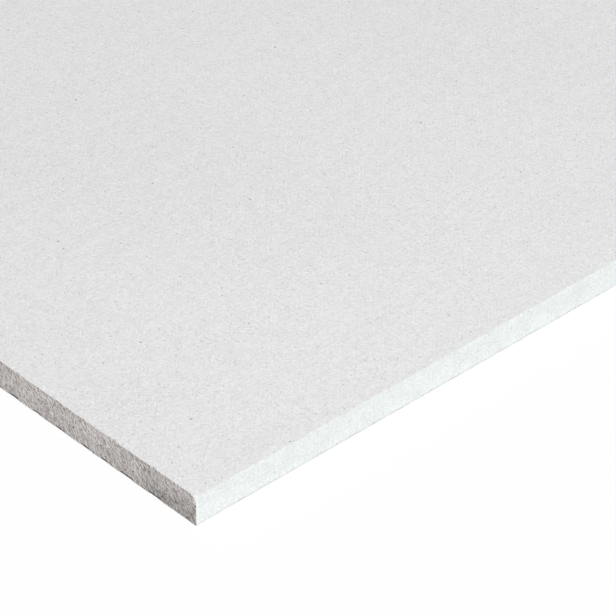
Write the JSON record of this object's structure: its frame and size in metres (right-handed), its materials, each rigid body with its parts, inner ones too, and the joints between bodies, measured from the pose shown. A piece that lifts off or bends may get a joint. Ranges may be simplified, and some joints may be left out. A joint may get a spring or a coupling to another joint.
{
  "type": "gypsum fibreboard drywall sheet",
  "caption": "Flat rectangular paperless drywall sheet of gypsum and cellulose fibre, with a fine speckled face and square sawn edges, for lining walls, ceilings and floors.",
  "frame": {"origin": "middle of the sheet's underside, the face that bears on studs or floor", "axes": "+X along the long edges, +Y along the cross-cut ends, +Z out of the finished face"},
  "size_m": [1.5, 1, 0.0125],
  "materials": {
    "gypsum_fibre": "matte"
  },
  "bodies": {
    "root": {"board": "gypsum_fibre"}
  },
  "joints": []
}
